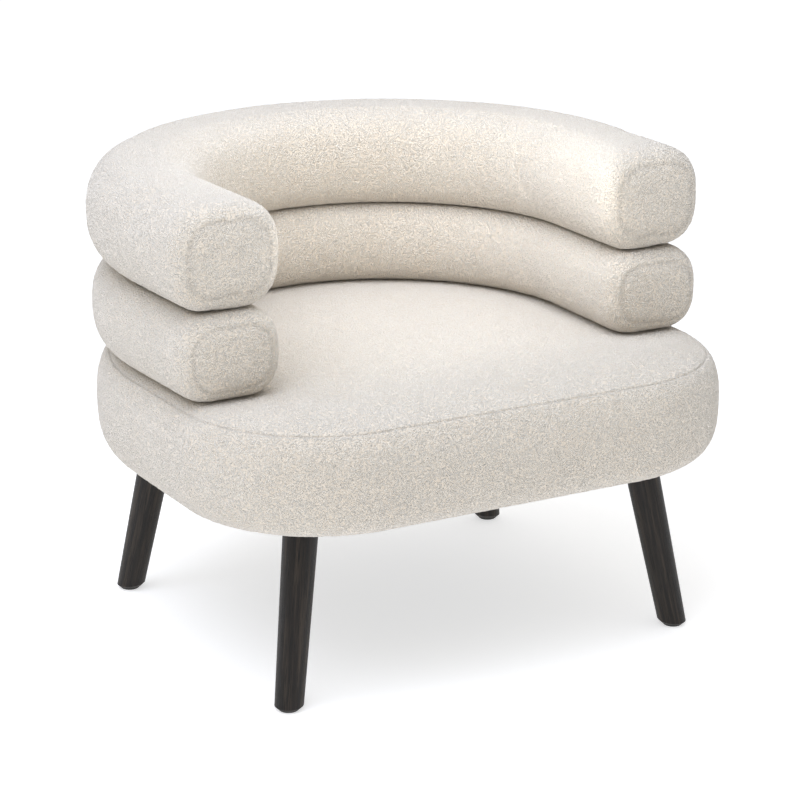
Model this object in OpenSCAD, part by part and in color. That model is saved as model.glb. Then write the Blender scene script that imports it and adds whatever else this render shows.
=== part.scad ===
// Low lounge armchair: two stacked horseshoe rolls on a thick rounded seat with four splayed legs.
// Millimetres. +Z is up, the sitter looks along -Y, +X is on the right of someone who faces the chair.
// The origin is on the floor, at the middle of the chair's width and depth.

/* [Overall] */
// Width over the two arms
overall_width = 820; // [760:2:900]
// Depth from the seat's front to the back of the rolls
overall_depth = 788; // [740:2:880]
// Height of the top of the upper roll
overall_height = 655; // [630:1:700]
// Height of the seat's edge, without its crown
seat_height = 395; // [370:1:420]

/* [Seat] */
// Thickness of the upholstered seat
seat_thickness = 151; // [140:1:170]
// How far the seat's side stands inside the arms
side_reveal = 4; // [0:0.5:20]
// How far the seat's back stands inside the back roll
back_reveal = 21; // [10:1:40]
// Radius of the seat's front corners, seen from above
corner_r = 211; // [180:1:240]
// Straight stretch in the middle of the seat's rounded back
back_flat = 33; // [10:1:60]
// Width of the rounded edge, seen from above
edge_round = 63; // [50:1:75]
// Squareness of the rounded edge: 2 is an ellipse, more is squarer
edge_square = 3; // [2:0.1:4]
// Distance of the top seam from the seat's outline
seam_inset = 21; // [16:1:30]

/* [Rolls] */
// Height of the lower roll between the seat and the upper roll
lower_roll_height = 116.5; // [100:0.5:130]
// Half of the lower roll's width
lower_half = 76; // [66:0.5:80]
// Half of the upper roll's width
upper_half = 81; // [72:0.5:84]
// How much a roll is flattened where it is pressed on its neighbour
roll_squash = 2.6; // [1:0.1:5]
// Squareness of a roll's section: 2 is an ellipse, more is squarer
roll_square = 2.9; // [2:0.1:4]
// Angle by which the arms turn in
toe = 1.3; // [0.3:0.1:4]
// Distance from the seat's front to the end of the upper arm
arm_setback = 192; // [170:1:230]
// How much further forward the lower arm reaches
lower_arm_lead = 6; // [0:1:20]
// Rounding of an arm's end
end_round = 47; // [35:1:52]
// Distance from an arm's end back to the seam of its end panel
end_seam = 8; // [5:0.5:20]

/* [Legs] */
// Distance of a front foot from the seat's front
front_foot_inset = 95; // [80:1:110]
// Distance of a back foot from the back of the rolls
back_foot_inset = 191; // [175:1:210]
// Distance of the feet from the chair's side
side_foot_inset = 108; // [98:1:120]
// Lean of a leg from upright
splay = 12.4; // [6:0.1:14]
// Direction of the lean, from straight sideways towards the front or back
splay_heading = 42; // [30:1:55]
// Radius of a leg where it meets the seat
leg_top_r = 23.7; // [20:0.1:27]
// Radius of a leg at the foot
leg_foot_r = 19.2; // [15:0.1:22]
// Bevel round a leg's foot
foot_bevel = 2.5; // [1:0.1:4]
// Radius of a glide
glide_r = 14; // [10:0.5:15]
// Thickness of a glide
glide_t = 4; // [3:0.5:8]

/* [Frame] */
// Distance of the wooden frame from the seat's outline
frame_inset = 44; // [42:1:50]
// Thickness of the plywood base board and seat ring
board_t = 15; // [12:0.5:18]
// Width of the base board, from its outline to its opening
base_ring_w = 112; // [105:1:125]
// Width of the seat ring, from its outline to its opening
seat_ring_w = 100; // [90:1:110]
// Thickness of the rails
rail_t = 18; // [15:0.5:22]
// Thickness of the plywood ribs in the rolls
rib_t = 18; // [12:0.5:24]
// Width of the ribs
rib_w = 76; // [72:1:84]
// Thickness of a post, across the roll
post_t = 28; // [22:1:30]
// Width of a post, along the roll
post_w = 38; // [30:1:42]
// Distance of the posts from the middle of the roll, towards the sitter
post_offset = 16; // [12:1:18]
// Diameter of the leg bolts
bolt_d = 8; // [6:1:10]

/* [Upholstery] */
// Thickness of the looped cover fabric
fabric_t = 3; // [2:0.1:4]
// Thickness of the wadding under the seat's cover
wadding_t = 5; // [4:0.5:8]
// Thickness of the foam over the webbing
pad_t = 44; // [38:1:50]
// Width of a webbing strap
strap_w = 50; // [40:1:60]
// Thickness of a webbing strap
strap_t = 2; // [1.5:0.1:2.5]
// Thickness of the support cloth
cloth_t = 1.5; // [1:0.1:2]
// Thickness of the dust cover
dust_t = 1; // [0.8:0.1:1.5]

/* [Hidden] */
$fn = 72;
gap = 0.3;              // clearance between two pieces that touch
hem_gap = 1;            // clearance of the base board over the border's rounded hem
eps = 0.5;              // overshoot of a cut past the face it opens

half_w = overall_width / 2;
half_d = overall_depth / 2;

// Seat outline: a quarter circle at each corner, small in front and large behind
seat_half = half_w - side_reveal;
back_r = seat_half - back_flat / 2;
front_c = [seat_half - corner_r, corner_r - half_d];
back_c = [back_flat / 2, half_d - back_reveal - back_r];
side_l = back_c[1] - front_c[1];

// Heights of the layers in the seat, from below
seat_bottom = seat_height - seat_thickness;
edge_half = seat_thickness / 2;
edge_mid = seat_bottom + edge_half;
base_z = seat_bottom + fabric_t + hem_gap;
rail_z = base_z + board_t + gap;
pad_top = seat_height - fabric_t - wadding_t - 2 * gap;
cloth_z = pad_top - pad_t - gap - cloth_t;
weave_mid = cloth_z - gap - strap_t - gap / 2;
ring_z = weave_mid - strap_t - gap - board_t - gap / 2;
rail_h = ring_z - gap - rail_z;
flange_w = 16;
flange_inset = edge_round + flange_w;
strap_inset = 114;

// Rolls: one centre line for both
roll_r = half_w - upper_half;
roll_y = half_d - upper_half - roll_r;
upper_low = seat_height + lower_roll_height;
upper_b = (overall_height - upper_low + roll_squash) / 2;
upper_mid = overall_height - upper_b;
lower_b = lower_roll_height / 2 + roll_squash;
lower_mid = seat_height + lower_roll_height / 2;
arm_end = arm_setback - half_d;
upper_run = run_to(arm_end);
lower_run = run_to(arm_end - lower_arm_lead);
rib_end = end_round + 6;
end_power = 2.4;
section_steps = 32;
cap_steps = 7;
edge_steps = 16;

// Posts stand in the rolls: two in the arms, four round the back
post_r = roll_r - post_offset;
post_end_gap = 12;
arm_post_run = upper_run - rib_end - post_w / 2 - post_end_gap;
side_post_angle = 14;
back_post_angle = 64;
post_top = upper_mid - rib_t / 2 - gap;

// Legs
foot_x = half_w - side_foot_inset;
front_foot_y = front_foot_inset - half_d;
back_foot_y = half_d - back_foot_inset;
leg_top_z = base_z - gap;
leg_run = leg_top_z / cos(splay);
leg_taper = (leg_top_r - leg_foot_r) / leg_run;
bolt_in_leg = 40;
bolt_above = 44;
insert_r = bolt_d / 2 + 2;
insert_l = 20;
insert_z = rail_z + 7;
leg_top_drift = leg_top_z * tan(splay);
block_inner_r = 60;
block_depth = 92;
block_half_angle = 12.5;
glue_angle = 0.1;       // clearance between a bent rail and a block, as an angle
block_middle = atan2(back_foot_y - leg_top_drift * sin(splay_heading) - back_c[1],
                     foot_x - leg_top_drift * cos(splay_heading) - back_c[0]);
block_from = block_middle - block_half_angle;
block_to = block_middle + block_half_angle;

glide_bevel = 1.5;
nail_z = 1;
nail_r = 1.4;
nail_head_r = 3.8;
nail_head_t = 1.4;
nail_in_leg = 14;

screw_r = 2;
screw_head_r = 4;
screw_head_h = 3;
screw_l = 40;
staple_w = 10;
staple_t = 0.8;
cover_staple_step = 46;
dust_staple_step = 60;
dust_hem = 2;
centre_rail_w = 44;

ivory = [0.93, 0.91, 0.87];
ply = [0.80, 0.66, 0.45];
beech = [0.76, 0.58, 0.38];
foam_tint = [0.95, 0.90, 0.62];
black_wood = [0.17, 0.16, 0.15];
steel = [0.68, 0.69, 0.70];

// ---------- Shapes that several sub-parts share ----------

function signed_pow(v, p) = sign(v) * pow(abs(v), p);

// Straight length of an arm whose end is at this y
function run_to(y) = (roll_y - roll_r * sin(toe) - y) / cos(toe);

// Points round a soft oval of half-width a and half-height b, flattened between low and high
function oval(a, b, mid, low, high) = [
    for (i = [0 : section_steps - 1])
        let (t = 360 * i / section_steps, z = mid + b * signed_pow(sin(t), 2 / roll_square))
            [a * signed_pow(cos(t), 2 / roll_square), min(max(z, low), high)]
];

// Sections of the two rolls, drawn in by d from the fabric's outside and by r at a rounded end
function upper_section(d = 0, r = 0) =
    oval(upper_half - d - r, upper_b - d - r, upper_mid, upper_low + gap + d + r, overall_height);
function lower_section(d = 0, r = 0) =
    oval(lower_half - d - r, lower_b - d - r, lower_mid,
         seat_height + gap + d + r, upper_low - d - r);

// How far a rounded end is drawn in at this share of its length
function end_draw(share) = 1 - pow(1 - pow(share, end_power), 1 / end_power);

// The seat's rounded edge, drawn in by d: distances from the outline and heights, from below
function seat_edge(d) = [
    for (i = [0 : edge_steps])
        let (t = 180 * i / edge_steps - 90)
            [d + (edge_round - d) * (1 - pow(max(cos(t), 0), 2 / edge_square)),
             edge_mid + (edge_half - d) * signed_pow(sin(t), 2 / edge_square)]
];
// A straight-sided slab between two heights, its side at this distance from the outline
function slab(inset, z0, z1) = [[inset, z0], [inset, z1]];

// Half profile of reach r, closed on its axis
function closed_profile(profile, r) = concat(
    [[0, profile[0][1]]],
    [for (p = profile) [r - p[0], p[1]]],
    [[0, profile[len(profile) - 1][1]]]
);

module both_sides() {
    children();
    mirror([1, 0, 0]) children();
}

// A solid with the seat's plan: quarter circles, straight blocks and the core between them
module seat_solid(profile) {
    low = profile[0][1];
    high = profile[len(profile) - 1][1];
    straight = closed_profile(profile, corner_r);
    behind = closed_profile(profile, back_r);
    both_sides() {
        translate(front_c) rotate(-90) rotate_extrude(angle = 90) polygon(straight);
        translate([front_c[0], back_c[1], 0]) rotate([90, 0, 0])
            linear_extrude(side_l) polygon(straight);
        translate(back_c) rotate_extrude(angle = 90) polygon(behind);
    }
    translate(front_c) rotate(-90) rotate([90, 0, 0])
        linear_extrude(2 * front_c[0]) polygon(straight);
    translate([-back_c[0], back_c[1], 0]) rotate(90) rotate([90, 0, 0])
        linear_extrude(back_flat) polygon(behind);
    translate([-front_c[0], front_c[1], low]) cube([2 * front_c[0], side_l, high - low]);
}

// Copies its child round the seat at this distance from the outline, its +X pointing outwards
module around_seat(inset, step) {
    front_arc = corner_r - inset;
    back_arc = back_r - inset;
    front_n = round(front_arc * PI / 2 / step);
    back_n = round(back_arc * PI / 2 / step);
    side_n = round(side_l / step);
    across_n = round(2 * front_c[0] / step);
    both_sides() {
        for (i = [0.5 : front_n])
            translate(front_c) rotate(-90 * i / front_n) translate([front_arc, 0, 0]) children();
        for (i = [0.5 : side_n])
            translate([seat_half - inset, front_c[1] + side_l * i / side_n, 0]) children();
        for (i = [0.5 : back_n])
            translate(back_c) rotate(90 * i / back_n) translate([back_arc, 0, 0]) children();
    }
    for (i = [0.5 : across_n])
        translate([2 * front_c[0] * i / across_n - front_c[0], inset - half_d, 0])
            rotate(-90) children();
}

// Angle on the round back at this distance along the right arm: less than none is back round the curve
function arm_angle(run) = max(-run, 0) / roll_r * 180 / PI - toe;

// A section swept along the rolls' centre line, with arms of this length
module horseshoe(section, run) {
    placed = [for (p = section) [roll_r + p[0], p[1]]];
    from = arm_angle(run);
    translate([0, roll_y, 0]) {
        rotate(from) rotate_extrude(angle = 180 - 2 * from) polygon(placed);
        if (run > 0)
            both_sides() rotate(-toe) rotate([90, 0, 0]) linear_extrude(run) polygon(placed);
    }
}

// Puts its child in the right arm, at this distance along it: +X is outwards
module at_arm(run) {
    translate([0, roll_y, 0]) rotate(arm_angle(run)) translate([roll_r, -max(run, 0), 0])
        children();
}

// A closed solid through rings of points, flat at both ends
module loft(rings) {
    n = len(rings[0]);
    last = len(rings) - 1;
    polyhedron(
        points = [for (ring = rings) each ring],
        faces = concat(
            [[for (i = [0 : n - 1]) i]],
            [for (k = [0 : last - 1], i = [0 : n - 1])
                [k * n + i, (k + 1) * n + i, (k + 1) * n + (i + 1) % n]],
            [for (k = [0 : last - 1], i = [0 : n - 1])
                [k * n + i, (k + 1) * n + (i + 1) % n, k * n + (i + 1) % n]],
            [[for (i = [n - 1 : -1 : 0]) last * n + i]]
        ),
        convexity = 4
    );
}

// Ring of a rounded arm end at this share of its length
function end_ring(upper, d, share) =
    let (r = end_round - d, draw = r * end_draw(share),
         section = upper ? upper_section(d, draw) : lower_section(d, draw))
            [for (p = section) [p[0], -r * share, p[1]]];
function end_rings(upper, d) = [
    for (k = [0 : cap_steps]) end_ring(upper, d, sin(90 * k / cap_steps))
];
function backwards(list) = [for (i = [len(list) - 1 : -1 : 0]) list[i]];

module screw(grow = 0) {
    cylinder(h = screw_head_h, r1 = screw_head_r + grow, r2 = screw_r + grow);
    cylinder(h = screw_l + 2 * grow, r = screw_r + grow);
}

// ---------- Places ----------

// Where the posts stand: +X is across the roll, away from the sitter
module at_arm_posts() {
    both_sides() at_arm(arm_post_run) translate([-post_offset, 0, 0]) children();
}
module at_back_posts(angle) {
    both_sides() translate([0, roll_y, 0]) rotate(angle) translate([post_r, 0, 0]) children();
}
module at_posts() {
    at_arm_posts() children();
    at_back_posts(side_post_angle) children();
    at_back_posts(back_post_angle) children();
}

// A straight post between two heights, grown by a clearance
module post(z0, z1, grow = 0) {
    translate([-post_t / 2 - grow, -post_w / 2 - grow, z0])
        cube([post_t + 2 * grow, post_w + 2 * grow, z1 - z0]);
}
module post_holes(z0, z1, grow = gap) {
    at_posts() post(z0, z1, grow);
}

// Screws that hold the boards on the rails
module at_front_screws() {
    for (x = [-1, 0, 1] * front_c[0] * 0.85)
        translate([x, frame_inset + rail_t / 2 - half_d, 0]) children();
}
module at_side_screws() {
    for (share = [0.2, 0.8])
        translate([seat_half - frame_inset - rail_t / 2,
                   front_c[1] + side_l * share, 0]) children();
}
module at_back_screws() {
    for (share = [0.2, 0.8])
        translate(back_c) rotate(block_to + (90 - block_to) * share)
            translate([back_r - frame_inset - rail_t / 2, 0, 0]) children();
}
module at_rail_screws() {
    at_front_screws() children();
    both_sides() {
        at_side_screws() children();
        at_back_screws() children();
    }
}
module screw_up(grow = 0) {
    translate([0, 0, base_z]) screw(grow);
}
module screw_down(grow = 0) {
    translate([0, 0, ring_z + board_t]) mirror([0, 0, 1]) screw(grow);
}
module rib_screw(grow = 0) {
    translate([0, 0, upper_mid + rib_t / 2]) mirror([0, 0, 1]) screw(grow);
}

// A leg's own frame: +Z runs up the leg from the floor. side is 1 or -1, row is -1 at the front
module at_leg(side, row) {
    translate([side * foot_x, row < 0 ? front_foot_y : back_foot_y, 0])
        rotate(atan2(-row * sin(splay_heading), -side * cos(splay_heading)))
            rotate([0, splay, 0]) children();
}
module at_legs() {
    for (side = [-1, 1], row = [-1, 1]) at_leg(side, row) children();
}
module leg_holes(z0, z1, grow) {
    intersection() {
        at_legs() translate([0, 0, leg_run - 60])
            cylinder(h = 90, r1 = leg_top_r - 60 * leg_taper + grow,
                     r2 = leg_top_r + 30 * leg_taper + grow);
        translate([-half_w, -half_d, z0]) cube([overall_width, overall_depth, z1 - z0]);
    }
}

// ---------- Legs and their fasteners ----------

module leg(side, row) {
    extra = 20;
    color(black_wood) difference() {
        intersection() {
            at_leg(side, row) translate([0, 0, -extra])
                cylinder(h = leg_run + 2 * extra, r1 = leg_foot_r - extra * leg_taper,
                         r2 = leg_top_r + extra * leg_taper);
            translate([side * foot_x, row < 0 ? front_foot_y : back_foot_y, glide_t])
                cylinder(h = leg_top_z - glide_t, r1 = leg_foot_r - foot_bevel,
                         r2 = leg_foot_r - foot_bevel + leg_top_z - glide_t);
        }
        at_leg(side, row) translate([0, 0, leg_run - bolt_in_leg - 1])
            cylinder(h = bolt_in_leg + 20, r = bolt_d / 2 + gap / 2);
        translate([side * foot_x, row < 0 ? front_foot_y : back_foot_y, 0])
            cylinder(h = glide_t + nail_in_leg + 3, r = nail_r + gap / 3);
    }
}
module leg_front_left() { leg(-1, -1); }
module leg_front_right() { leg(1, -1); }
module leg_back_left() { leg(-1, 1); }
module leg_back_right() { leg(1, 1); }

module at_feet() {
    for (side = [-1, 1], y = [front_foot_y, back_foot_y])
        translate([side * foot_x, y, 0]) children();
}
module foot_glides() {
    color("dimgray") at_feet() difference() {
        union() {
            cylinder(h = glide_bevel, r1 = glide_r - glide_bevel, r2 = glide_r);
            translate([0, 0, glide_bevel])
                cylinder(h = glide_t - glide_bevel - gap / 3, r = glide_r);
        }
        translate([0, 0, nail_z]) cylinder(h = glide_t, r = nail_head_r + gap);
    }
}
module glide_nails() {
    color(steel) at_feet() {
        translate([0, 0, nail_z + gap / 3]) cylinder(h = nail_head_t, r = nail_head_r);
        translate([0, 0, nail_z + gap / 3])
            cylinder(h = glide_t - nail_z + nail_in_leg, r = nail_r);
    }
}
module leg_bolts() {
    color(steel) at_legs() translate([0, 0, leg_run - bolt_in_leg])
        cylinder(h = bolt_in_leg + bolt_above, r = bolt_d / 2);
}
module insert_places() {
    at_legs() translate([0, 0, insert_z / cos(splay)]) children();
}
module threaded_inserts() {
    color("goldenrod") insert_places() difference() {
        cylinder(h = insert_l, r = insert_r);
        translate([0, 0, -eps]) cylinder(h = insert_l + 2 * eps, r = bolt_d / 2 + gap / 3);
    }
}

// ---------- Seat frame ----------

module base_board() {
    color(ply) difference() {
        seat_solid(slab(frame_inset, base_z, base_z + board_t));
        seat_solid(slab(frame_inset + base_ring_w, base_z - eps, base_z + board_t + eps));
        at_legs() translate([0, 0, leg_run - 15]) cylinder(h = 50, r = bolt_d / 2 + gap);
        at_rail_screws() screw_up(gap / 3);
        at_posts() screw_up(gap / 3);
    }
}
module rail_screw_hole() {
    screw_up(gap / 3);
    screw_down(gap / 3);
}
module front_rail() {
    color(beech) difference() {
        translate([gap - front_c[0], frame_inset - half_d, rail_z])
            cube([2 * front_c[0] - 2 * gap, rail_t, rail_h]);
        at_front_screws() rail_screw_hole();
    }
}
// A rail bent round one of the seat's back corners, from the corner's start
module bent_rail(angle) {
    rotate_extrude(angle = angle)
        translate([back_r - frame_inset - rail_t, 0]) square([rail_t, rail_h]);
}
module side_rail() {
    color(beech) difference() {
        union() {
            translate([seat_half - frame_inset - rail_t, front_c[1] + gap, rail_z])
                cube([rail_t, side_l - gap, rail_h]);
            translate(concat(back_c, rail_z)) bent_rail(block_from - glue_angle);
        }
        at_side_screws() rail_screw_hole();
    }
}
module side_rail_right() { side_rail(); }
module side_rail_left() { mirror([1, 0, 0]) side_rail(); }
module back_rail() {
    color(beech) difference() {
        union() {
            both_sides() translate(concat(back_c, rail_z)) rotate(90) mirror([0, 1, 0])
                bent_rail(90 - block_to - glue_angle);
            translate([-back_c[0], back_c[1] + back_r - frame_inset - rail_t, rail_z])
                cube([back_flat, rail_t, rail_h]);
        }
        both_sides() at_back_screws() rail_screw_hole();
    }
}
module centre_rail() {
    front = frame_inset + rail_t + gap - half_d;
    back = back_c[1] + back_r - frame_inset - rail_t - gap;
    color(beech) translate([-centre_rail_w / 2, front, rail_z])
        cube([centre_rail_w, back - front, rail_h / 2]);
}

// A block glued in a corner of the frame, drilled along the leg's own axis for bolt and insert
module corner_block(side, row) {
    outer = (row < 0 ? corner_r : back_r) - frame_inset;
    inner = row < 0 ? block_inner_r : outer - block_depth;
    color(beech) difference() {
        mirror([side < 0 ? 1 : 0, 0, 0])
            translate(concat(row < 0 ? front_c : back_c, rail_z))
                rotate(row < 0 ? glue_angle - 90 : block_from)
                    rotate_extrude(angle = row < 0 ? 90 - 2 * glue_angle : 2 * block_half_angle)
                        translate([inner, 0]) square([outer - inner, rail_h]);
        at_leg(side, row) translate([0, 0, leg_run])
            cylinder(h = bolt_above + 5, r = bolt_d / 2 + gap);
        at_leg(side, row) translate([0, 0, leg_run])
            cylinder(h = insert_z / cos(splay) + insert_l + gap - leg_run, r = insert_r + gap / 3);
    }
}
module corner_block_front_left() { corner_block(-1, -1); }
module corner_block_front_right() { corner_block(1, -1); }
module corner_block_back_left() { corner_block(-1, 1); }
module corner_block_back_right() { corner_block(1, 1); }

module seat_ring() {
    color(ply) difference() {
        seat_solid(slab(frame_inset, ring_z, ring_z + board_t));
        seat_solid(slab(frame_inset + seat_ring_w, ring_z - eps, ring_z + board_t + eps));
        at_rail_screws() screw_down(gap / 3);
        post_holes(ring_z - eps, ring_z + board_t + eps);
    }
}
module base_screws() {
    color(steel) {
        at_rail_screws() screw_up();
        at_posts() screw_up();
    }
}
module ring_screws() {
    color(steel) at_rail_screws() screw_down();
}

// ---------- Webbing ----------

// How far a strap reaches forwards, backwards and sideways
function arc_reach(r, off) = sqrt(pow(r - strap_inset, 2) - pow(max(off + strap_w / 2, 0), 2));
function front_reach(x) = front_c[1] - arc_reach(corner_r, abs(x) - front_c[0]);
function back_reach(x) = back_c[1] + arc_reach(back_r, abs(x) - back_c[0]);
function side_reach(y) = min(front_c[0] + arc_reach(corner_r, front_c[1] - y),
                             back_c[0] + arc_reach(back_r, y - back_c[1]));
// Middle lines of the straps
outer_column = seat_half - strap_inset - 2 * strap_w;
columns = [for (i = [-2 : 2]) outer_column * i / 2];
first_row = front_reach(outer_column) + strap_w;
last_row = back_reach(outer_column) - strap_w;
rows = [for (j = [0 : 4]) first_row + (last_row - first_row) * j / 4];
weave_step = strap_t / 2 + gap / 2;
strap_hold = 14;

// Side view of one strap that runs over and under the ones it crosses
function strap_line(from, to, crossings, parity) = concat(
    [[from, -weave_step], [from + strap_hold, -weave_step]],
    [for (j = [0 : len(crossings) - 1], e = [-1, 1])
        [crossings[j] + e * strap_w / 2, (j + parity) % 2 == 0 ? weave_step : -weave_step]],
    [[to - strap_hold, -weave_step], [to, -weave_step]]
);
module strap(line) {
    thick = [for (p = line) [p[0], p[1] + strap_t / 2]];
    thin = [for (p = backwards(line)) [p[0], p[1] - strap_t / 2]];
    translate([0, 0, weave_mid]) rotate([90, 0, 0])
        translate([0, 0, -strap_w / 2]) linear_extrude(strap_w) polygon(concat(thin, thick));
}
module webbing_lengthwise() {
    color("saddlebrown") for (i = [0 : 4])
        translate([columns[i], 0, 0]) rotate(90)
            strap(strap_line(front_reach(columns[i]), back_reach(columns[i]), rows, i));
}
module webbing_crosswise() {
    color("sienna") for (j = [0 : 4])
        translate([0, rows[j], 0])
            strap(strap_line(-side_reach(rows[j]), side_reach(rows[j]), columns, j + 1));
}
module webbing_staples() {
    z = weave_mid - weave_step + strap_t / 2 + gap / 2;
    color(steel) {
        for (x = columns, y = [front_reach(x) + 8, back_reach(x) - 8], dx = [-12, 12])
            translate([x + dx - staple_w / 2, y, z]) cube([staple_w, staple_t, staple_t]);
        for (y = rows, x = [-1, 1] * (side_reach(y) - 8), dy = [-12, 12])
            translate([x, y + dy - staple_w / 2, z]) cube([staple_t, staple_w, staple_t]);
    }
}
module support_cloth() {
    color("wheat") seat_solid(slab(strap_inset, cloth_z, cloth_z + cloth_t));
}

// ---------- Seat upholstery ----------

module seat_foam() {
    draw = fabric_t + wadding_t + 2 * gap;
    color(foam_tint) difference() {
        seat_solid(seat_edge(draw));
        seat_solid(slab(frame_inset - gap, seat_bottom, ring_z + board_t + gap));
        seat_solid(slab(strap_inset - gap, seat_bottom, cloth_z + cloth_t + gap));
        post_holes(ring_z, seat_height + eps);
    }
}
module seat_wadding() {
    outer = fabric_t + gap;
    color("white") difference() {
        seat_solid(seat_edge(outer));
        seat_solid(seat_edge(outer + wadding_t));
        seat_solid(slab(0, seat_bottom - eps, edge_mid));
        post_holes(ring_z, seat_height + eps);
    }
}
module seat_shell() {
    difference() {
        seat_solid(seat_edge(0));
        seat_solid(seat_edge(fabric_t));
        post_holes(edge_mid, seat_height + eps);
    }
}
module seat_top_cover() {
    color(ivory) intersection() {
        seat_shell();
        seat_solid(slab(seam_inset, edge_mid, seat_height + eps));
    }
}
module seat_border_cover() {
    color(ivory) difference() {
        seat_solid(seat_edge(0));
        seat_solid(seat_edge(fabric_t));
        seat_solid(slab(seam_inset - gap, edge_mid, seat_height + eps));
        seat_solid(slab(flange_inset, seat_bottom - eps, edge_mid));
        leg_holes(seat_bottom - eps, base_z, 1);
    }
}
module staple_crown(z) {
    translate([-staple_t / 2, -staple_w / 2, z]) cube([staple_t, staple_w, staple_t]);
}
module cover_staples() {
    color(steel) difference() {
        around_seat(flange_inset - 5, cover_staple_step) staple_crown(seat_bottom - staple_t - gap / 3);
        leg_holes(seat_bottom - 2, base_z, 6);
    }
}
module dust_cover() {
    top = seat_bottom - staple_t - gap;
    color("black") difference() {
        seat_solid(slab(edge_round + dust_hem, top - dust_t, top));
        leg_holes(top - dust_t - eps, top + eps, 1.5);
    }
}
module dust_cover_staples() {
    z = seat_bottom - 2 * staple_t - gap - dust_t - gap / 3;
    color(steel) difference() {
        around_seat(edge_round + dust_hem + 5, dust_staple_step) staple_crown(z);
        leg_holes(z - 1, base_z, 6);
    }
}

// ---------- Back and arm frame ----------

module post_solid() {
    difference() {
        post(rail_z, post_top);
        screw_up(gap / 3);
        rib_screw(gap / 3);
    }
}
module arm_posts() {
    color(beech) at_arm_posts() post_solid();
}
module side_posts() {
    color(beech) at_back_posts(side_post_angle) post_solid();
}
module back_posts() {
    color(beech) at_back_posts(back_post_angle) post_solid();
}
function rib_section(mid, grow = 0) =
    let (x = rib_w / 2 + grow, z = rib_t / 2 + grow)
        [[-x, mid - z], [x, mid - z], [x, mid + z], [-x, mid + z]];
module lower_rib() {
    color(ply) difference() {
        horseshoe(rib_section(lower_mid), lower_run - rib_end);
        post_holes(lower_mid - rib_t, lower_mid + rib_t);
    }
}
module upper_rib() {
    color(ply) difference() {
        horseshoe(rib_section(upper_mid), upper_run - rib_end);
        at_posts() rib_screw(gap / 3);
    }
}
module rib_screws() {
    color(steel) at_posts() rib_screw();
}

// ---------- Rolls ----------

// A whole roll with its rounded ends, drawn in by d from the fabric's outside
module roll_solid(upper, d) {
    run = (upper ? upper_run : lower_run) - end_round;
    union() {
        horseshoe(upper ? upper_section(d) : lower_section(d), run);
        both_sides() at_arm(run) loft(end_rings(upper, d));
    }
}
// Room for an end panel, with this clearance behind its seam
module panel_room(upper, grow = 0) {
    wide = 2 * upper_half;
    low = upper ? upper_low - eps : seat_height - eps;
    at_arm((upper ? upper_run : lower_run) - end_seam - grow)
        translate([-wide / 2, -end_seam - grow - eps, low])
            cube([wide, end_seam + grow + eps, overall_height - low]);
}
module roll_foam(upper, mid, run) {
    color(foam_tint) difference() {
        roll_solid(upper, fabric_t + gap);
        horseshoe(rib_section(mid, gap), run - rib_end + gap);
        post_holes(seat_height, upper ? mid : upper_low + eps, gap);
    }
}
module lower_roll_foam() {
    roll_foam(false, lower_mid, lower_run);
}
module upper_roll_foam() {
    roll_foam(true, upper_mid, upper_run);
}
module roll_cover(upper, z0, z1) {
    color(ivory) difference() {
        roll_solid(upper, 0);
        roll_solid(upper, fabric_t);
        both_sides() panel_room(upper, gap);
        post_holes(z0, z1, gap);
    }
}
module lower_roll_cover() {
    roll_cover(false, seat_height - eps, upper_low + eps);
}
module upper_roll_cover() {
    roll_cover(true, upper_low - eps, upper_mid);
}

// The sewn panel that closes an arm's end, a shallow bowl of fabric
module end_panel(upper) {
    run = (upper ? upper_run : lower_run) - end_round;
    color(ivory) intersection() {
        difference() {
            at_arm(run) loft(end_rings(upper, 0));
            at_arm(run) loft(end_rings(upper, fabric_t));
        }
        panel_room(upper);
    }
}
module lower_end_panel_right() { end_panel(false); }
module lower_end_panel_left() { mirror([1, 0, 0]) end_panel(false); }
module upper_end_panel_right() { end_panel(true); }
module upper_end_panel_left() { mirror([1, 0, 0]) end_panel(true); }

leg_front_left();
leg_front_right();
leg_back_left();
leg_back_right();
foot_glides();
glide_nails();
leg_bolts();
threaded_inserts();
base_board();
front_rail();
side_rail_left();
side_rail_right();
back_rail();
centre_rail();
corner_block_front_left();
corner_block_front_right();
corner_block_back_left();
corner_block_back_right();
seat_ring();
base_screws();
ring_screws();
webbing_lengthwise();
webbing_crosswise();
webbing_staples();
support_cloth();
seat_foam();
seat_wadding();
seat_top_cover();
seat_border_cover();
cover_staples();
dust_cover();
dust_cover_staples();
arm_posts();
side_posts();
back_posts();
lower_rib();
upper_rib();
rib_screws();
lower_roll_foam();
upper_roll_foam();
lower_roll_cover();
upper_roll_cover();
lower_end_panel_left();
lower_end_panel_right();
upper_end_panel_left();
upper_end_panel_right();
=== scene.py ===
import math

import bpy
import numpy as np
from mathutils import Matrix, Vector, noise


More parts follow.
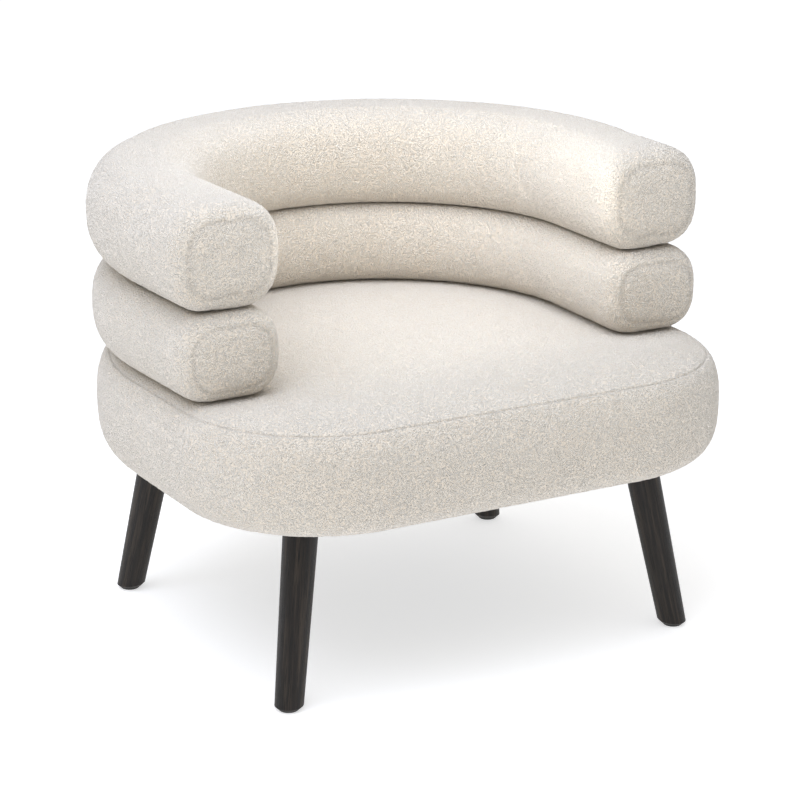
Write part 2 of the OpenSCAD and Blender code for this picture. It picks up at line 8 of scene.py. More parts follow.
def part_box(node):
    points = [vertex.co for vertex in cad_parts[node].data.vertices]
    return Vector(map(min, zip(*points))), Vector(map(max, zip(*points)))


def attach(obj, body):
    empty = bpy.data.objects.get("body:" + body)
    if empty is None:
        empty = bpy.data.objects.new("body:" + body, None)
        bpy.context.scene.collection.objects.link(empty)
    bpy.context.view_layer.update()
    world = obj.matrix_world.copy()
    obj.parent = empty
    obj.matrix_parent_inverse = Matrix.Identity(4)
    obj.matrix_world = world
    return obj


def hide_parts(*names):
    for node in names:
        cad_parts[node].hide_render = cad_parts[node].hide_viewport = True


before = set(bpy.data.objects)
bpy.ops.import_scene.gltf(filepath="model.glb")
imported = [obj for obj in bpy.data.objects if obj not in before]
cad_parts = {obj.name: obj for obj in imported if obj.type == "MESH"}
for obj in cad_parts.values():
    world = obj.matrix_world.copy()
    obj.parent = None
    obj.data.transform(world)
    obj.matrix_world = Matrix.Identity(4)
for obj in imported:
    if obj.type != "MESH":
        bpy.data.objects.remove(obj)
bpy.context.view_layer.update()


# ---------- Base board, seat ring and ribs ----------
# Four flat shapes routed from birch plywood. The board and the ring close the seat frame from below
# and above, and the two horseshoe ribs run inside the rolls.

PLY_LAYER = 0.0014
VENEER_GRAIN = 0.004


def linear(shade):
    """An sRGB hex colour such as #c8a878 as linear red, green, blue and alpha."""
    parts = [int(shade[i : i + 2], 16) / 255 for i in (1, 3, 5)]
    curve = [p / 12.92 if p <= 0.04045 else ((p + 0.055) / 1.055) ** 2.4 for p in parts]
    return (*curve, 1.0)


def add(tree, kind, inputs=(), ramp=(), **settings):
    """Adds one node, gives it its settings, and links or sets its inputs."""
    made = tree.nodes.new("ShaderNode" + kind)
    for name, value in settings.items():
        setattr(made, name, value)
    for key, value in dict(inputs).items():
        if isinstance(value, bpy.types.NodeSocket):
            tree.links.new(value, made.inputs[key])
        else:
            made.inputs[key].default_value = value
    for index, (place, shade) in enumerate(ramp):
        stops = made.color_ramp.elements
        stop = stops[index] if index < 2 else stops.new(place)
        stop.position = place
        stop.color = linear(shade)
    return made


def start_material(name):
    """A new material, its empty tree, and its pattern coordinates in metres."""
    material = bpy.data.materials.new(name)
    material.use_nodes = True
    tree = material.node_tree
    tree.nodes.clear()
    return material, tree, add(tree, "TexCoord").outputs["Object"]


def end_material(tree, inputs):
    """Closes a tree with the shader that these inputs describe."""
    shader = add(tree, "BsdfPrincipled", inputs)
    add(tree, "OutputMaterial", {"Surface": shader.outputs[0]})


def stretched_noise(tree, place, size, stretch, detail=3.0):
    """Noise with features of this size, drawn out along the axes by these factors."""
    scaled = add(tree, "Mapping", {"Vector": place, "Scale": [1 / s for s in stretch]}).outputs[0]
    settings = {"Vector": scaled, "Scale": 1 / size, "Detail": detail}
    return add(tree, "TexNoise", settings).outputs["Fac"]


def bump(tree, height, depth):
    """A normal pressed in by this height map, whose full depth is in metres."""
    return add(tree, "Bump", {"Height": height, "Distance": depth, "Strength": 1.0}).outputs[0]


def dress(nodes, material):
    """Gives CAD nodes their material."""
    for name in nodes:
        mesh = bpy.data.objects[name].data
        mesh.materials.clear()
        mesh.materials.append(material)


def birch_plywood():
    """Rotary-cut birch veneers glued crosswise: pale faces with long soft grain, striped edges."""
    material, tree, place = start_material("birch_plywood")
    grain = stretched_noise(tree, place, VENEER_GRAIN, (1, 14, 1))
    face = add(tree, "ValToRGB", {"Fac": grain}, [(0.3, "#b98f5c"), (0.75, "#dcbd8b")])
    layer = add(tree, "TexWave", {"Vector": place, "Scale": 1 / (PLY_LAYER * 4), "Distortion": 0.4},
                bands_direction="Z")
    edge = add(tree, "ValToRGB", {"Fac": layer.outputs["Fac"]},
               [(0.35, "#8d6437"), (0.65, "#cda673")])
    normal = add(tree, "NewGeometry").outputs["Normal"]
    upright = add(tree, "SeparateXYZ", {"Vector": normal}).outputs["Z"]
    flat = add(tree, "Math", {0: upright}, operation="ABSOLUTE").outputs[0]
    mix = add(tree, "Mix", {"Factor": flat, "A": edge.outputs[0], "B": face.outputs[0]},
              data_type="RGBA")
    end_material(tree, {"Base Color": mix.outputs["Result"], "Roughness": 0.62,
                        "Normal": bump(tree, grain, 0.0002)})
    return material


dress(["base_board", "seat_ring", "lower_rib", "upper_rib"], birch_plywood())


# ---------- Rails, corner blocks and posts ----------
# Planed beech. The rails and the glued corner blocks make the seat's ring, and six posts screwed to
# the base board stand up through the seat into the rolls.

BEECH_GRAIN = 0.012
BEECH_FLECK = 0.0012
RAILS = ["front_rail", "side_rail_left", "side_rail_right", "back_rail", "centre_rail"]
BLOCKS = [f"corner_block_{row}_{side}" for row in ("front", "back") for side in ("left", "right")]


def planed_beech():
    """Pinkish tan hardwood, planed smooth, with short dark flecks and a soft broad grain."""
    material, tree, place = start_material("planed_beech")
    broad = stretched_noise(tree, place, BEECH_GRAIN, (1, 8, 3))
    fleck = stretched_noise(tree, place, BEECH_FLECK, (1, 5, 2), 1.0)
    tone = add(tree, "ValToRGB", {"Fac": broad}, [(0.3, "#b4875a"), (0.7, "#cfa477")])
    dark = add(tree, "MapRange", {"Value": fleck, "From Min": 0.62, "From Max": 0.72})
    mix = add(tree, "Mix", {"Factor": dark.outputs[0], "A": tone.outputs[0],
                            "B": linear("#8a5f3a")}, data_type="RGBA")
    end_material(tree, {"Base Color": mix.outputs["Result"], "Roughness": 0.55,
                        "Normal": bump(tree, fleck, 0.0001)})
    return material


dress(RAILS + BLOCKS + ["arm_posts", "side_posts", "back_posts"], planed_beech())


# ---------- Screws, staples, leg bolts and inserts ----------
# Steel fasteners, zinc-plated against rust: screws through the boards, staples on the cloths, bolts
# and nails at the legs. The leg bolts run in turned brass inserts in the corner blocks.

METAL_CLOUD = 0.0025
ROUGH_SWING = 0.08


def plated_metal(name, dark, light, roughness):
    """Metal with a thin plating or a turned skin: bright, with a faint cloudy change of tone."""
    material, tree, place = start_material(name)
    cloud = stretched_noise(tree, place, METAL_CLOUD, (1, 1, 1), 2.0)
    tone = add(tree, "ValToRGB", {"Fac": cloud}, [(0.3, dark), (0.7, light)])
    rough = add(tree, "MapRange", {"Value": cloud, "To Min": roughness - ROUGH_SWING,
                                   "To Max": roughness + ROUGH_SWING})
    end_material(tree, {"Base Color": tone.outputs[0], "Metallic": 1.0,
                        "Roughness": rough.outputs[0]})
    return material


STEEL_NODES = ["base_screws", "ring_screws", "rib_screws", "leg_bolts", "glide_nails",
               "webbing_staples", "cover_staples", "dust_cover_staples"]
dress(STEEL_NODES, plated_metal("zinc_plated_steel", "#a9adb2", "#cfd2d4", 0.36))
dress(["threaded_inserts"], plated_metal("turned_brass", "#b08c48", "#d9bb72", 0.3))


# ---------- Webbing and support cloth ----------
# Elastic jute webbing, woven over and under and stapled to the seat ring, with a loose hessian
# cloth over it that keeps the foam off the straps.

WEB_RIB = 0.0032
HESSIAN_PITCH = 0.0025
WAVE_LENGTH = 0.314  # of a wave texture whose scale is 1


def ribbed_weave(name, pitch, dark, light, depth):
    """A plain open weave: threads of one pitch crossing in X and Y, rounded and a little uneven."""
    material, tree, place = start_material(name)
    uneven = stretched_noise(tree, place, pitch * 3, (1, 1, 1))
    rows = [add(tree, "TexWave", {"Vector": place, "Scale": WAVE_LENGTH / pitch, "Distortion": 0.6},
                bands_direction=way).outputs["Fac"] for way in ("X", "Y")]
    high = add(tree, "Math", {0: rows[0], 1: rows[1]}, operation="MAXIMUM").outputs[0]
    uneven_crest = add(tree, "Math", {0: high, 1: uneven}, operation="MULTIPLY").outputs[0]
    # The colour runs from dark between the threads to light on their crests, unevenly along them.
    tone = add(tree, "ValToRGB", {"Fac": uneven_crest}, [(0.1, dark), (0.6, light)])
    end_material(tree, {"Base Color": tone.outputs[0], "Roughness": 0.9,
                        "Specular IOR Level": 0.2, "Normal": bump(tree, high, depth)})
    return material


dress(["webbing_lengthwise", "webbing_crosswise"],
      ribbed_weave("elastic_jute_webbing", WEB_RIB, "#3d2714", "#8a6238", 0.0006))
dress(["support_cloth"], ribbed_weave("woven_hessian", HESSIAN_PITCH, "#8c7144", "#c9b083", 0.0005))


# ---------- Seat ----------
# A thick D-shaped cushion over the frame: foam and wadding in a cover of ivory looped fabric, whose
# top panel is sewn to the border in a plain seam that runs just inside the edge.

# The seat's own shape, and the part of its top that the lower roll holds down
SEAT_EDGE_ROUND = 0.063
SEAT_BACK_FLAT = 0.033
SEAT_SQUARENESS = 0.63
SEAT_CROWN = 0.006
PRESSED_HALF = 0.045
CROWN_RISE = 0.1
OUTLINE_STEPS = 24
EDGE_STEPS = 14
SHARP_EDGE = math.radians(60)
EDGE_SHARE = 0.999
SAME_POINT = 0.0005
# The rolls' plan: half the upper roll's width, the arms' toe-out and the rounding of their ends
UPPER_HALF = 0.081
TOE = math.radians(1.3)
END_ROUND = 0.047
# How every pad is filled, pressed and sewn
VOXEL = 0.006
SMOOTH_FACTOR = 0.5
SMOOTH_PASSES = 4
CLOTH_PRESSURE = 4
CLOTH_FRAMES = 20
SWELL = 0.003
HELD_BELOW_TOP = 0.003
HELD_ABOVE_BASE = 0.006
HELD_BY_SEAM = 0.7  # of a voxel
PRESS_SOFTNESS = 0.0015
CREASE_GAP = 0.0003
SEAM_WIDTH = 0.0014
SEAM_DEPTH = 0.0012
SEAM_REACH = 3  # seam widths
SEAM_CUTS = 2
# The fabric: nubs that move the skin, and loops a little coarser than real ones, so that they show
NUB = 0.006
NUB_HEIGHT = 0.0006
BOUCLE_CURL = 0.0024
TONE_DRIFT = 0.045

seat_low, seat_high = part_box("seat_border_cover")
top_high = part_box("seat_top_cover")[1]
seam_inset = seat_high.x - top_high.x
seat_half = seat_high.x
corner_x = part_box("front_rail")[1].x
corner_r = seat_half - corner_x
corner_y = seat_low.y + corner_r
back_x = SEAT_BACK_FLAT / 2
back_r = seat_half - back_x
back_y = seat_high.y - back_r
seat_top = top_high.z


def outline(inset):
    """Points of the seat's outline, moved in by an inset, from one front corner round to the other."""
    points = []
    for side in (1, -1):
        turns = range(OUTLINE_STEPS + 1)
        front = [math.radians(-90 + 90 * k / OUTLINE_STEPS) for k in turns]
        back = [math.radians(90 * k / OUTLINE_STEPS) for k in turns]
        half = [(corner_x + (corner_r - inset) * math.cos(a),
                 corner_y + (corner_r - inset) * math.sin(a)) for a in front]
        half += [(back_x + (back_r - inset) * math.cos(a),
                  back_y + (back_r - inset) * math.sin(a)) for a in back]
        points += [(side * x, y) for x, y in (half if side > 0 else half[::-1])]
    return points


def outline_depth(co):
    """How far inside the seat's outline each point lies, in plan."""
    x, y = np.abs(co[:, 0]), co[:, 1]
    front = np.where(x < corner_x, y - seat_low.y,
                     corner_r - np.hypot(x - corner_x, y - corner_y))
    back = np.where(x < back_x, seat_high.y - y, back_r - np.hypot(x - back_x, y - back_y))
    return np.where(y < corner_y, front, np.where(y < back_y, seat_half - x, back))


def corners(piece):
    """The piece's vertices as an array, one row each."""
    co = np.empty(len(piece.data.vertices) * 3)
    piece.data.vertices.foreach_get("co", co)
    return co.reshape(-1, 3)


def outward(piece):
    """The piece's vertex normals as an array, one row each."""
    normals = np.empty(len(piece.data.vertices) * 3)
    piece.data.vertices.foreach_get("normal", normals)
    return normals.reshape(-1, 3)


def reshape(piece, co):
    """Moves the piece's vertices to these places."""
    piece.data.vertices.foreach_set("co", co.ravel())
    piece.data.update()


def modify(piece, kind, **settings):
    """Adds a modifier, gives it its settings and applies it."""
    modifier = piece.modifiers.new(kind.title(), kind)
    for name, value in settings.items():
        setattr(modifier, name, value)
    bpy.ops.object.select_all(action="DESELECT")
    piece.select_set(True)
    bpy.context.view_layer.objects.active = piece
    bpy.ops.object.modifier_apply(modifier=modifier.name)


def padding(form, name):
    """A copy of a form as one even skin of small squares, ready to be filled."""
    pad = form.copy()
    pad.data = form.data.copy()
    pad.name = name
    bpy.context.collection.objects.link(pad)
    modify(pad, "REMESH", mode="VOXEL", voxel_size=VOXEL, use_smooth_shade=True)
    modify(pad, "SMOOTH", factor=SMOOTH_FACTOR, iterations=SMOOTH_PASSES)
    bpy.data.objects.remove(form)
    return pad


def fill(pad, held, most):
    """Swells the skin as cloth under inner pressure, except where it is held, up to a limit."""
    before = corners(pad)
    group = pad.vertex_groups.new(name="held")
    group.add([int(i) for i in np.flatnonzero(held)], 1.0, "REPLACE")
    cloth = pad.modifiers.new("Cloth", "CLOTH")
    cloth.settings.use_pressure = True
    cloth.settings.uniform_pressure_force = CLOTH_PRESSURE
    cloth.settings.effector_weights.gravity = 0
    cloth.settings.vertex_group_mass = group.name
    cloth.point_cache.frame_end = CLOTH_FRAMES
    for step in range(1, CLOTH_FRAMES + 1):
        bpy.context.scene.frame_set(step)
    swollen = pad.evaluated_get(bpy.context.evaluated_depsgraph_get())
    move = corners(swollen) - before
    length = np.linalg.norm(move, axis=1, keepdims=True)
    pad.modifiers.remove(cloth)
    pad.vertex_groups.remove(group)
    bpy.context.scene.frame_set(1)
    reshape(pad, before + move * np.minimum(1, most / np.maximum(length, 1e-9)))


def tighten(pad, reach):
    """Pushes the skin out evenly until the pad reaches as far sideways as its cover does."""
    short = reach - NUB_HEIGHT / 2 - corners(pad)[:, 0].max()
    reshape(pad, corners(pad) + outward(pad) * short)


def press_between(pad, low, high):
    """Keeps the pad between two faces that press on it from below and above."""
    co = corners(pad)
    soft = PRESS_SOFTNESS
    over = np.maximum(co[:, 2] - high + soft, 0)
    co[:, 2] -= over - soft * (1 - np.exp(-over / soft))
    under = np.maximum(low + soft - co[:, 2], 0)
    co[:, 2] += under - soft * (1 - np.exp(-under / soft))
    reshape(pad, co)


def sew(pad, seam_distance):
    """Divides the skin finely along a seam and pulls it in there. Gives each point its share, which
    the fabric also reads to paint shade along the seam.
    """
    near = seam_distance(corners(pad)) < SEAM_REACH * SEAM_WIDTH
    pad.data.vertices.foreach_set("select", near)
    bpy.ops.object.select_all(action="DESELECT")
    bpy.context.view_layer.objects.active = pad
    bpy.ops.object.mode_set(mode="EDIT")
    bpy.ops.mesh.select_mode(type="VERT")
    bpy.ops.mesh.subdivide(number_cuts=SEAM_CUTS)
    bpy.ops.object.mode_set(mode="OBJECT")
    seam = np.exp(-((seam_distance(corners(pad)) / SEAM_WIDTH) ** 2))
    reshape(pad, corners(pad) - outward(pad) * (SEAM_DEPTH * seam)[:, None])
    mark = pad.data.attributes.new("seam", "FLOAT", "POINT")
    mark.data.foreach_set("value", seam)


def loop_pile(pad):
    """Raises the fabric's looped nubs, which also roughen the outline of the piece."""
    heights = [noise.noise(Vector(point) / NUB) for point in corners(pad)]
    reshape(pad, corners(pad) + outward(pad) * (NUB_HEIGHT * np.array(heights))[:, None])


def ivory_boucle():
    """Undyed looped wool mix: matt, with each curl's top painted lighter and the pits between curls
    painted darker as shade.
    """
    material, tree, place = start_material("ivory_boucle")
    curl = add(tree, "TexNoise", {"Vector": place, "Scale": 1 / BOUCLE_CURL, "Detail": 1.5,
                                  "Distortion": 1.4}).outputs["Fac"]
    curl = add(tree, "MapRange", {"Value": curl, "From Min": 0.33, "From Max": 0.67}).outputs[0]
    pit = add(tree, "TexVoronoi", {"Vector": place, "Scale": 1 / BOUCLE_CURL}).outputs["Distance"]
    loop = add(tree, "MapRange", {"Value": pit, "From Max": 0.8, "To Min": 1.0,
                                  "To Max": 0.0}).outputs[0]
    height = add(tree, "Math", {0: curl, 1: loop}, operation="MULTIPLY").outputs[0]
    broad = stretched_noise(tree, place, TONE_DRIFT, (1, 1, 1), 2.0)
    # Painted light and shade: this ramp makes each curl's top lighter and the pits between curls
    # darker, on top of the bump.
    tone = add(tree, "ValToRGB", {"Fac": height},
               [(0.0, "#e0d3c1"), (0.25, "#f2e9da"), (0.6, "#f9f3e8")])
    # Painted shade: the colour is mixed toward a darker grey-beige along the seam's pulled-in groove.
    seam = add(tree, "Attribute", attribute_name="seam").outputs["Fac"]
    shade = add(tree, "MapRange", {"Value": seam, "To Min": 0.0, "To Max": 0.35}).outputs[0]
    sewn = add(tree, "Mix", {"Factor": shade, "A": tone.outputs[0], "B": linear("#b5ab9d")},
               data_type="RGBA").outputs["Result"]
    warm = add(tree, "MapRange", {"Value": broad, "From Min": 0.35, "From Max": 0.65,
                                  "To Min": 0.0, "To Max": 0.2}).outputs[0]
    colour = add(tree, "Mix", {"Factor": warm, "A": sewn, "B": linear("#f1eadd")},
                 data_type="RGBA").outputs["Result"]
    end_material(tree, {"Base Color": colour, "Roughness": 0.95, "Specular IOR Level": 0.12,
                        "Sheen Weight": 0.8, "Sheen Roughness": 0.5,
                        "Normal": bump(tree, height, 0.003)})
    return material


boucle = ivory_boucle()


def seat_form():
    """The seat's D-shaped block with its rounded edges, drawn in by the room for its filling."""
    points = outline(SWELL)
    bpy.ops.object.select_all(action="DESELECT")
    bpy.ops.mesh.primitive_circle_add(vertices=len(points), fill_type="NGON")
    form = bpy.context.object
    for vertex, (x, y) in zip(form.data.vertices, points):
        vertex.co = (x, y, 0)
    round_in = SEAT_EDGE_ROUND - SWELL
    bpy.ops.object.mode_set(mode="EDIT")
    bpy.ops.mesh.select_all(action="SELECT")
    bpy.ops.mesh.remove_doubles(threshold=SAME_POINT)
    bpy.ops.mesh.extrude_region_move(TRANSFORM_OT_translate={"value": (0, 0, 2 * round_in)})
    bpy.ops.mesh.select_all(action="SELECT")
    bpy.ops.mesh.normals_make_consistent(inside=False)
    bpy.ops.object.mode_set(mode="OBJECT")
    modify(form, "BEVEL", width=round_in * EDGE_SHARE, segments=EDGE_STEPS,
           profile=SEAT_SQUARENESS, limit_method="ANGLE", angle_limit=SHARP_EDGE,
           use_clamp_overlap=False)
    tall = (seat_top - CREASE_GAP - seat_low.z) / (2 * round_in)
    form.data.transform(Matrix.Translation((0, 0, seat_low.z)) @ Matrix.Diagonal((1, 1, tall, 1)))
    return form


roll_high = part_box("upper_roll_cover")[1]
roll_r = roll_high.x - UPPER_HALF
roll_centre = Vector((0, roll_high.y - UPPER_HALF - roll_r, 0))


def arm_start(side):
    """Where an arm's straight part leaves the round back, and the way it runs."""
    turn = Matrix.Rotation(-side * TOE, 3, "Z")
    return roll_centre + turn @ Vector((side * roll_r, 0, 0)), turn @ Vector((0, -1, 0))


def arm_run(panel):
    """Length of an arm's straight part and rounded end together, from its panel's box."""
    start, way = arm_start(1)
    return (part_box(panel)[0].y - start.y) / way.y


def roll_distance(co):
    """How far each point lies in plan from the rolls' centre line."""
    start, way = arm_start(1)
    run = arm_run("lower_end_panel_right") - END_ROUND
    x, y = np.abs(co[:, 0]), co[:, 1]
    along = np.clip((x - start.x) * way.x + (y - start.y) * way.y, 0, run)
    arm = np.hypot(x - start.x - along * way.x, y - start.y - along * way.y)
    return np.where(y > roll_centre.y, np.abs(np.hypot(x, y - roll_centre.y) - roll_r), arm)


def seat_ceiling(co):
    """The height that the seat may swell to: it is held down under the lower roll."""
    free = np.clip((roll_distance(co) - PRESSED_HALF) / CROWN_RISE, 0, 1)
    return seat_top - CREASE_GAP + SEAT_CROWN * free * free * (3 - 2 * free)


def seat_seam_distance(co):
    """How far each point lies from the seam round the seat's top panel."""
    above = co[:, 2] > (seat_top + seat_low.z) / 2
    return np.where(above, np.abs(outline_depth(co) - seam_inset), 1.0)


seat = padding(seat_form(), "seat_cushion")
points = corners(seat)
pressed = (roll_distance(points) < PRESSED_HALF) & (points[:, 2] > seat_top - HELD_BELOW_TOP)
sewn = seat_seam_distance(points) < VOXEL * HELD_BY_SEAM
stapled = points[:, 2] < seat_low.z + HELD_ABOVE_BASE
fill(seat, pressed | sewn | stapled, SWELL + SEAT_CROWN)
modify(seat, "SUBSURF", levels=1, render_levels=1)
tighten(seat, seat_half)
press_between(seat, seat_low.z, seat_ceiling(corners(seat)))
sew(seat, seat_seam_distance)
loop_pile(seat)
seat.data.materials.append(boucle)
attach(seat, "root")
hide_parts("seat_foam", "seat_wadding", "seat_top_cover", "seat_border_cover")


# ---------- Arm and back rolls ----------
# Two stuffed horseshoe sleeves of the same fabric, stacked on the seat. Each is foam round its rib,
# drawn down on its neighbour in a tight crease, and each arm's end is a sewn panel.

SECTION_POINTS = 64
SECTION_SQUARENESS = 2.9
ROLL_STEPS = 96
LOWER_HALF = 0.076
END_POWER = 3.2
END_STEPS = 8
SQUASH = 0.0026
END_SEAM = 0.005
HELD_FACE = 0.001


def signed_power(value, power):
    """A power that keeps the value's sign."""
    return math.copysign(abs(value) ** power, value)


def roll_form(low, high, half, free_top, run):
    """A horseshoe of soft-cornered section with rounded ends, drawn in by room for its filling."""
    tall = (high - low + (1 if free_top else 2) * SQUASH) / 2
    middle = low - SQUASH + tall
    top = tall - SWELL * free_top
    high -= SWELL * free_top
    bpy.ops.object.select_all(action="DESELECT")
    bpy.ops.mesh.primitive_circle_add(vertices=SECTION_POINTS)
    form = bpy.context.object
    wide, power = half - SWELL, 2 / SECTION_SQUARENESS
    for k, vertex in enumerate(form.data.vertices):
        angle = 2 * math.pi * k / SECTION_POINTS
        z = middle + (top if angle < math.pi else tall) * signed_power(math.sin(angle), power)
        vertex.co = (wide * signed_power(math.cos(angle), power), 0, min(max(z, low), high))
    form.data.transform(Matrix.Translation(roll_centre) @ Matrix.Rotation(-TOE, 4, "Z")
                        @ Matrix.Translation((roll_r, 0, 0)))
    bpy.ops.object.mode_set(mode="EDIT")
    bpy.ops.mesh.select_all(action="SELECT")
    bpy.ops.mesh.spin(steps=ROLL_STEPS, angle=-(math.pi + 2 * TOE), center=roll_centre,
                      axis=(0, 0, 1))
    bpy.ops.mesh.select_all(action="DESELECT")
    bpy.ops.object.mode_set(mode="OBJECT")
    end_round = END_ROUND - SWELL
    for side in (1, -1):
        start, way = arm_start(side)
        for vertex in form.data.vertices:
            vertex.select = (abs((vertex.co - start).dot(way)) < SAME_POINT
                             and vertex.co.x * side > 0)
        bpy.ops.object.mode_set(mode="EDIT")
        bpy.ops.mesh.select_mode(type="VERT")
        straight = way * (run - END_ROUND)
        bpy.ops.mesh.extrude_region_move(TRANSFORM_OT_translate={"value": straight})
        place, drawn = start + straight, 0.0
        place.z = (low + high) / 2
        for k in range(1, END_STEPS + 1):
            share = math.sin(math.pi / 2 * k / END_STEPS)
            before = math.sin(math.pi / 2 * (k - 1) / END_STEPS)
            draw = end_round * (1 - (1 - share ** END_POWER) ** (1 / END_POWER))
            step = way * end_round * (share - before)
            place += step
            across = (wide - draw) / (wide - drawn)
            up = ((high - low) / 2 - draw) / ((high - low) / 2 - drawn)
            bpy.ops.mesh.extrude_region_move(TRANSFORM_OT_translate={"value": step})
            bpy.ops.transform.resize(value=(across, 1, up), center_override=place)
            drawn = draw
        bpy.ops.mesh.edge_face_add()
        bpy.ops.mesh.select_all(action="DESELECT")
        bpy.ops.object.mode_set(mode="OBJECT")
    bpy.ops.object.mode_set(mode="EDIT")
    bpy.ops.mesh.select_all(action="SELECT")
    bpy.ops.mesh.normals_make_consistent(inside=False)
    bpy.ops.object.mode_set(mode="OBJECT")
    return form


def stuffed_roll(name, cover, half, free_top, panels, foam):
    """One roll: its form, its filling, its pressed faces, its end panels' seams and its pile."""
    low, high = (corner.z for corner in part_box(cover))
    run = arm_run(panels[1])
    start, way = arm_start(1)

    def seam_distance(co):
        along = (np.abs(co[:, 0]) - start.x) * way.x + (co[:, 1] - start.y) * way.y
        return np.abs(along - run + END_SEAM)

    roll = padding(roll_form(low + CREASE_GAP, high - CREASE_GAP, half, free_top, run), name)
    points = corners(roll)
    held = points[:, 2] < low + HELD_FACE
    if not free_top:
        held |= points[:, 2] > high - HELD_FACE
    fill(roll, held, SWELL)
    modify(roll, "SUBSURF", levels=1, render_levels=1)
    tighten(roll, roll_r + half)
    press_between(roll, low + CREASE_GAP, high - CREASE_GAP)
    sew(roll, seam_distance)
    loop_pile(roll)
    roll.data.materials.append(boucle)
    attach(roll, "root")
    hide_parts(cover, foam, *panels)


for level, half in (("lower", LOWER_HALF), ("upper", UPPER_HALF)):
    stuffed_roll(level + "_roll", level + "_roll_cover", half, level == "upper",
                 [f"{level}_end_panel_left", f"{level}_end_panel_right"], level + "_roll_foam")


# ---------- Dust cover ----------
# Black spun-bonded cloth stapled up under the seat, which closes the frame from below: one flat
# layer with a hole cut for each leg.

# Both are drawn coarser than the real grid and fibres, so that they show
MELT_POINT = 0.0016
FIBRE = 0.0009


def spunbond_cloth():
    """Pressed polypropylene fibres: dull black, with a fine grid of melted points."""
    material, tree, place = start_material("black_spunbond_cloth")
    point = add(tree, "TexVoronoi", {"Vector": place, "Scale": 1 / MELT_POINT, "Randomness": 0.15})
    fibre = stretched_noise(tree, place, FIBRE, (1, 1, 1), 4.0)
    tone = add(tree, "ValToRGB", {"Fac": fibre}, [(0.3, "#121212"), (0.75, "#2a2a2a")])
    end_material(tree, {"Base Color": tone.outputs[0], "Roughness": 0.85,
                        "Specular IOR Level": 0.25,
                        "Normal": bump(tree, point.outputs["Distance"], 0.0002)})
    return material


dress(["dust_cover"], spunbond_cloth())


# ---------- Legs ----------
# Four turned ash legs, stained black under a thin satin lacquer, that lean out from bolts in the
# corner blocks. Each stands on a nailed plastic glide.

# The pores and the plastic's fine texture are drawn coarser than real ones, so that they show
PORE = 0.0011
STREAK = 0.006
MOULD_GRAIN = 0.0008
SPLAY = math.radians(12.4)
SPLAY_HEADING = math.radians(42)


def stained_ash(name, middle, lean, heading):
    """Open-grained ash stained black: the pores stay darkest and the ridges between them greyer."""
    material, tree, place = start_material(name)
    for settings in ({"Location": -middle}, {"Rotation": (0, 0, -heading)},
                     {"Rotation": (0, -lean, 0)}):
        place = add(tree, "Mapping", {"Vector": place, **settings}).outputs[0]
    streak = stretched_noise(tree, place, STREAK, (1, 1, 26))
    pore = stretched_noise(tree, place, PORE, (1, 1, 30), 2.0)
    tone = add(tree, "ValToRGB", {"Fac": streak},
               [(0.32, "#120e0a"), (0.5, "#1f1914"), (0.72, "#3e352c")])
    dark = add(tree, "MapRange", {"Value": pore, "From Min": 0.52, "From Max": 0.66}).outputs[0]
    mix = add(tree, "Mix", {"Factor": dark, "A": tone.outputs[0], "B": linear("#0d0b09")},
              data_type="RGBA").outputs["Result"]
    rough = add(tree, "MapRange", {"Value": streak, "To Min": 0.4, "To Max": 0.6}).outputs[0]
    depth = add(tree, "Math", {0: 1.0, 1: dark}, operation="SUBTRACT").outputs[0]
    end_material(tree, {"Base Color": mix, "Roughness": rough, "Specular IOR Level": 0.32,
                        "Coat Weight": 0.06, "Coat Roughness": 0.35,
                        "Normal": bump(tree, depth, 0.0003)})
    return material


for leg in [f"leg_{row}_{side}" for row in ("front", "back") for side in ("left", "right")]:
    low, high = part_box(leg)
    inward = Vector((-1 if "right" in leg else 1, 1 if "front" in leg else -1, 0))
    heading = math.atan2(inward.y * math.sin(SPLAY_HEADING), inward.x * math.cos(SPLAY_HEADING))
    dress([leg], stained_ash("black_stained_ash_" + leg[4:], (low + high) / 2, SPLAY, heading))


def moulded_plastic():
    """Injection-moulded polyamide: dark grey with a fine spark-eroded texture."""
    material, tree, place = start_material("grey_polyamide")
    grain = stretched_noise(tree, place, MOULD_GRAIN, (1, 1, 1), 2.0)
    tone = add(tree, "ValToRGB", {"Fac": grain}, [(0.3, "#2e2e2d"), (0.7, "#3c3c3b")])
    end_material(tree, {"Base Color": tone.outputs[0], "Roughness": 0.6, "IOR": 1.53,
                        "Normal": bump(tree, grain, 0.00005)})
    return material


dress(["foot_glides"], moulded_plastic())


# ---------- Studio ----------
# A bright white floor without an edge, a big soft light overhead to the left, two weak fills that
# lift the shade inside the back and on the seat, and a glow all round that is stronger from above.

FLOOR_RADIUS = 30
FLOOR_WHITE = 0.75
FLOOR_GLOW = 0.61
bpy.ops.object.select_all(action="DESELECT")
bpy.ops.mesh.primitive_circle_add(vertices=64, radius=FLOOR_RADIUS, fill_type="NGON")
floor = bpy.context.object
floor.name = "studio_floor"
paint, tree, place = start_material("white_floor_paint")
end_material(tree, {"Base Color": (FLOOR_WHITE, FLOOR_WHITE, FLOOR_WHITE, 1), "Roughness": 1.0,
                    "Specular IOR Level": 0.0, "Emission Color": (1, 1, 1, 1),
                    "Emission Strength": FLOOR_GLOW})
floor.data.materials.append(paint)

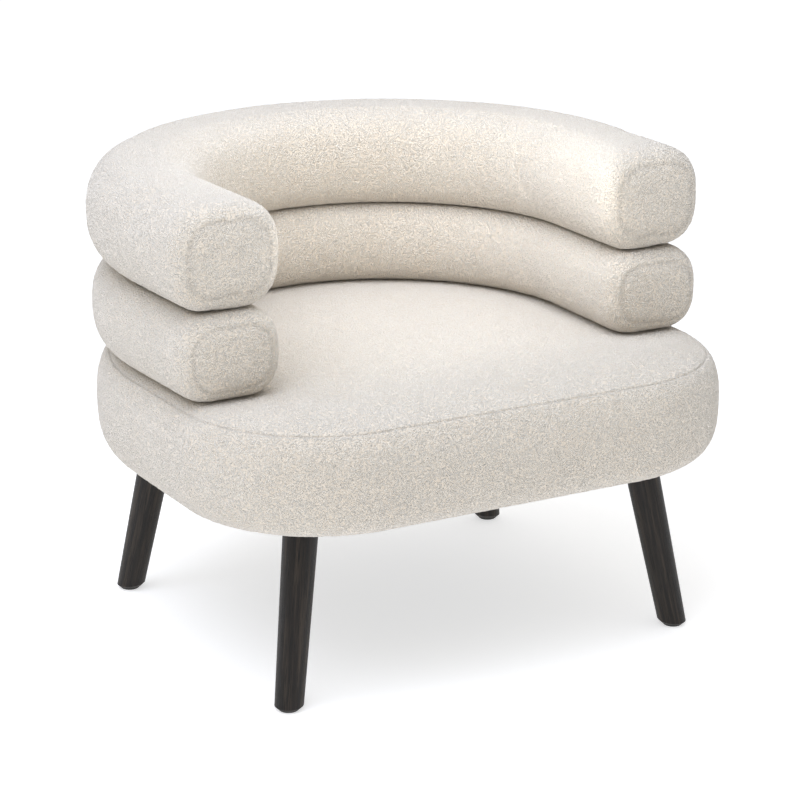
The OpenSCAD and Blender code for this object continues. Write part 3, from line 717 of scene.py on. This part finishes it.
HORIZON_GLOW = 0.25
ZENITH_GLOW = 0.74
world = bpy.data.worlds.new("studio_glow")
world.use_nodes = True
glow = world.node_tree.nodes["Background"]
glow.inputs["Color"].default_value = (1, 1, 1, 1)
way = add(world.node_tree, "TexCoord").outputs["Generated"]
up = add(world.node_tree, "SeparateXYZ", {"Vector": way}).outputs["Z"]
level = add(world.node_tree, "MapRange", {"Value": up, "To Min": HORIZON_GLOW,
                                          "To Max": ZENITH_GLOW}).outputs[0]
world.node_tree.links.new(level, glow.inputs["Strength"])
bpy.context.scene.world = world


def soft_light(name, place, aim, size, power, tint):
    """A square soft box at a place, facing a point."""
    light = bpy.data.lights.new(name, "AREA")
    light.size = size
    light.energy = power
    light.color = tint
    lamp = bpy.data.objects.new(name, light)
    lamp.location = place
    lamp.rotation_euler = (Vector(aim) - Vector(place)).to_track_quat("-Z", "Y").to_euler()
    lamp.visible_camera = False
    bpy.context.collection.objects.link(lamp)


soft_light("overhead_softbox", place=(-1.0, -0.4, 2.45), aim=(0, 0, 0.4),
           size=2.4, power=50, tint=(0.82, 0.87, 1))
soft_light("back_fill", place=(0, -0.12, 0.78), aim=(0, 0.33, 0.55),
           size=0.5, power=0.65, tint=(1, 0.97, 0.93))
soft_light("seat_fill", place=(0, -0.33, 1), aim=(0, -0.3, 0.4),
           size=0.5, power=0.95, tint=(0.9, 0.95, 1))

CAMERA_AZIMUTH = math.radians(-29.4)
CAMERA_ELEVATION = math.radians(17.5)
CAMERA_DISTANCE = 3.908
CAMERA_TARGET = Vector((0.007, -0.045, 0.304))
CAMERA_LENS = 126.1
back = Vector((math.sin(CAMERA_AZIMUTH) * math.cos(CAMERA_ELEVATION),
               -math.cos(CAMERA_AZIMUTH) * math.cos(CAMERA_ELEVATION),
               math.sin(CAMERA_ELEVATION)))
camera = bpy.data.objects.new("camera", bpy.data.cameras.new("camera"))
camera.data.lens = CAMERA_LENS
camera.location = CAMERA_TARGET + back * CAMERA_DISTANCE
camera.rotation_euler = (-back).to_track_quat("-Z", "Y").to_euler()
bpy.context.collection.objects.link(camera)
bpy.context.scene.camera = camera
bpy.context.scene.view_settings.view_transform = "Standard"
